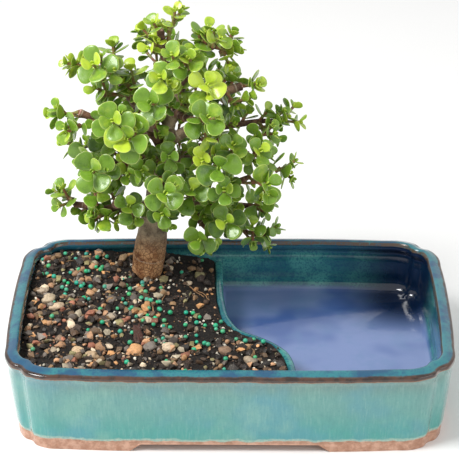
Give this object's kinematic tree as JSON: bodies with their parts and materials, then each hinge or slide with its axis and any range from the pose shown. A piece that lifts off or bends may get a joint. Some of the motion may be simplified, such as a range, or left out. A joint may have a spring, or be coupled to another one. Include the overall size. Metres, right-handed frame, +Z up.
{
  "type": "jade bonsai in a glazed pot with a dry pool",
  "caption": "Small jade bonsai with round fleshy leaves, rooted in gravel-topped soil on one side of a glazed oblong pot whose S-shaped wall leaves a dry pool beside it.",
  "frame": {"origin": "on the surface the pot's feet stand on, under the middle of the whole's box in plan", "axes": "+Z up, +X along the pot towards the pool, -Y towards the front"},
  "size_m": [0.2562, 0.1942, 0.2206],
  "materials": {
    "glazed_stoneware": "glossy teal glaze with brown edges, unglazed feet",
    "screen_plastic": "matte moulded mesh",
    "potting_mix": "rough, damp gravel and bark mix",
    "bark": "rough bark",
    "leaf": "smooth waxy leaf"
  },
  "bodies": {
    "root": {"drain_screen": "screen_plastic", "pot": "glazed_stoneware", "soil": "potting_mix", "spray_back_1": "leaf", "spray_back_2": "leaf", "spray_back_3": "leaf", "spray_back_4": "leaf", "spray_back_5": "leaf", "spray_back_6": "leaf", "spray_back_7": "leaf", "spray_back_8": "leaf", "spray_back_9": "leaf", "spray_centre_dark": "leaf", "spray_centre_front": "leaf", "spray_centre_low": "leaf", "spray_centre_small": "leaf", "spray_left_big": "leaf", "spray_left_drop": "leaf", "spray_left_far": "leaf", "spray_left_hang": "leaf", "spray_left_low_1": "leaf", "spray_left_low_2": "leaf", "spray_left_low_3": "leaf", "spray_left_low_4": "leaf", "spray_left_mid_1": "leaf", "spray_left_mid_2": "leaf", "spray_left_mid_3": "leaf", "spray_left_round": "leaf", "spray_left_star": "leaf", "spray_left_tip": "leaf", "spray_left_tip_low": "leaf", "spray_left_under": "leaf", "spray_left_upper_1": "leaf", "spray_left_upper_2": "leaf", "spray_right_2_mid": "leaf", "spray_right_2_tip": "leaf", "spray_right_2_up": "leaf", "spray_right_3_mid": "leaf", "spray_right_3_tip": "leaf", "spray_right_big": "leaf", "spray_right_bright": "leaf", "spray_right_droop": "leaf", "spray_right_front": "leaf", "spray_right_gloss": "leaf", "spray_right_low_1": "leaf", "spray_right_low_2": "leaf", "spray_right_low_3": "leaf", "spray_right_star": "leaf", "spray_right_tip": "leaf", "spray_right_tip_low": "leaf", "spray_right_upper_1": "leaf", "spray_right_yellow": "leaf", "spray_top": "leaf", "spray_top_left": "leaf", "spray_upper_dark": "leaf", "spray_upper_far": "leaf", "spray_upper_front": "leaf", "spray_upper_middle": "leaf", "spray_upper_right": "leaf", "trunk": "bark"}
  },
  "joints": []
}
